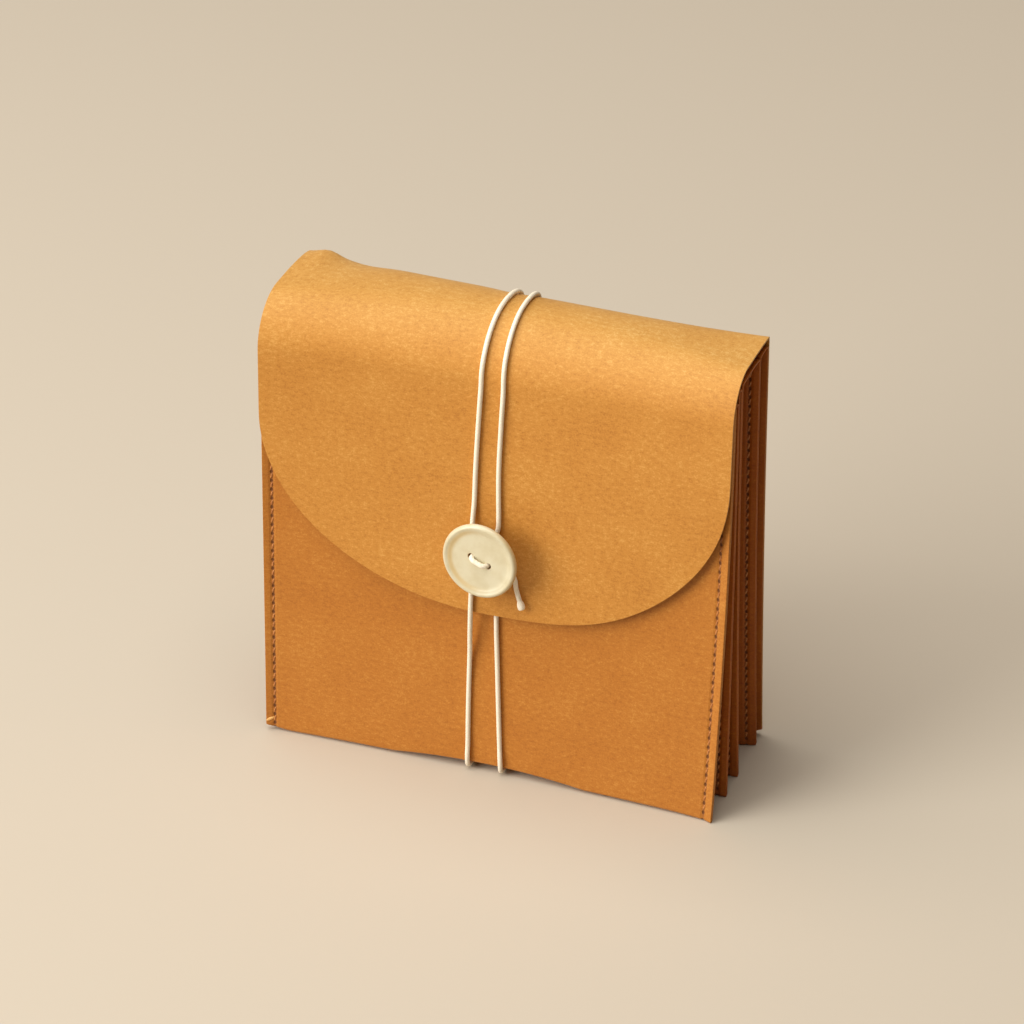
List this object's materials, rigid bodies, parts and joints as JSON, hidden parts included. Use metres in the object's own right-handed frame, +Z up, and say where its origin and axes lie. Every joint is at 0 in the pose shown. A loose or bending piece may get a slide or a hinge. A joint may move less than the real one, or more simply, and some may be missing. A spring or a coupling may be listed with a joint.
{
  "type": "knitting project wallet",
  "caption": "Accordion wallet of stitched kraft paper pockets under a round flap, tied shut with a cord wound round the wallet and behind a button.",
  "frame": {"origin": "on the surface that the wallet stands on, under the middle of its box without the cord", "axes": "+Z up, -Y out of the flap's face, +X to the right seen from the front"},
  "size_m": [0.15, 0.0571, 0.1561],
  "materials": {
    "kraft_paper": "matte",
    "seam_thread": "matte",
    "ivory_button": "satin",
    "cotton_cord": "matte"
  },
  "bodies": {
    "back_pocket": {"back_cover_panel": "kraft_paper", "pocket_5_front_panel": "kraft_paper", "pocket_5_bottom_fold": "kraft_paper", "pocket_5_left_seam": "seam_thread", "pocket_5_right_seam": "seam_thread", "top_fold_4": "kraft_paper", "cord_back_left": "cotton_cord", "cord_back_right": "cotton_cord"},
    "pocket_4": {"pocket_4_front_panel": "kraft_paper", "pocket_4_back_panel": "kraft_paper", "pocket_4_bottom_fold": "kraft_paper", "pocket_4_left_seam": "seam_thread", "pocket_4_right_seam": "seam_thread", "top_fold_3": "kraft_paper"},
    "pocket_3": {"pocket_3_front_panel": "kraft_paper", "pocket_3_back_panel": "kraft_paper", "pocket_3_bottom_fold": "kraft_paper", "pocket_3_left_seam": "seam_thread", "pocket_3_right_seam": "seam_thread", "top_fold_2": "kraft_paper"},
    "pocket_2": {"pocket_2_front_panel": "kraft_paper", "pocket_2_back_panel": "kraft_paper", "pocket_2_bottom_fold": "kraft_paper", "pocket_2_left_seam": "seam_thread", "pocket_2_right_seam": "seam_thread", "top_fold_1": "kraft_paper"},
    "pocket_1": {"pocket_1_front_panel": "kraft_paper", "pocket_1_back_panel": "kraft_paper", "pocket_1_bottom_fold": "kraft_paper", "pocket_1_left_seam": "seam_thread", "pocket_1_right_seam": "seam_thread", "cord_front_left": "cotton_cord", "cord_front_right": "cotton_cord"},
    "spine": {"cover_spine": "kraft_paper", "cord_spine_left": "cotton_cord", "cord_spine_right": "cotton_cord"},
    "flap": {"cover_flap": "kraft_paper", "button_shank": "cotton_cord", "cord_flap_left": "cotton_cord", "cord_flap_right": "cotton_cord", "cord_end": "cotton_cord"},
    "button": {"tie_button": "ivory_button", "button_bar": "cotton_cord"}
  },
  "joints": [
    {"name": "spine_fold", "type": "hinge", "parent": "back_pocket", "child": "spine", "pos_m": [0, 0.02163, 0.1495], "axis": [-1, 0, 0], "range_deg": [0, 90], "deforming": ["cord_spine_left", "cord_spine_right"]},
    {"name": "flap_fold", "type": "hinge", "parent": "spine", "child": "flap", "pos_m": [0, -0.01375, 0.14872], "axis": [-0.9981, -0.0584, 0.02], "range_deg": [0, 90], "deforming": ["cord_spine_left", "cord_spine_right"]},
    {"name": "pocket_4_swing", "type": "hinge", "parent": "back_pocket", "child": "pocket_4", "pos_m": [0, 0.01333, 0.1475], "axis": [-1, 0, 0], "range_deg": [0, 5]},
    {"name": "pocket_3_swing", "type": "hinge", "parent": "pocket_4", "child": "pocket_3", "pos_m": [0, -0.00479, 0.1475], "axis": [-1, 0, 0], "range_deg": [0, 5]},
    {"name": "pocket_2_swing", "type": "hinge", "parent": "pocket_3", "child": "pocket_2", "pos_m": [0, -0.00946, 0.1465], "axis": [-1, 0, 0], "range_deg": [0, 5]},
    {"name": "pocket_1_swing", "type": "hinge", "parent": "pocket_2", "child": "pocket_1", "pos_m": [0, -0.01917, 0.143], "axis": [-1, 0, 0], "range_deg": [0, 5]},
    {"name": "button_swivel", "type": "hinge", "parent": "flap", "child": "button", "pos_m": [-0.00103, -0.02378, 0.08136], "axis": [-0.0835, -0.9941, 0.0698], "range_deg": [-20, 20]}
  ],
  "couplings": [
    {"joint": "flap_fold", "follows": "spine_fold", "ratio": 1},
    {"joint": "pocket_4_swing", "follows": "spine_fold", "ratio": 0.055},
    {"joint": "pocket_3_swing", "follows": "spine_fold", "ratio": 0.055},
    {"joint": "pocket_2_swing", "follows": "spine_fold", "ratio": 0.055},
    {"joint": "pocket_1_swing", "follows": "spine_fold", "ratio": 0.055}
  ]
}
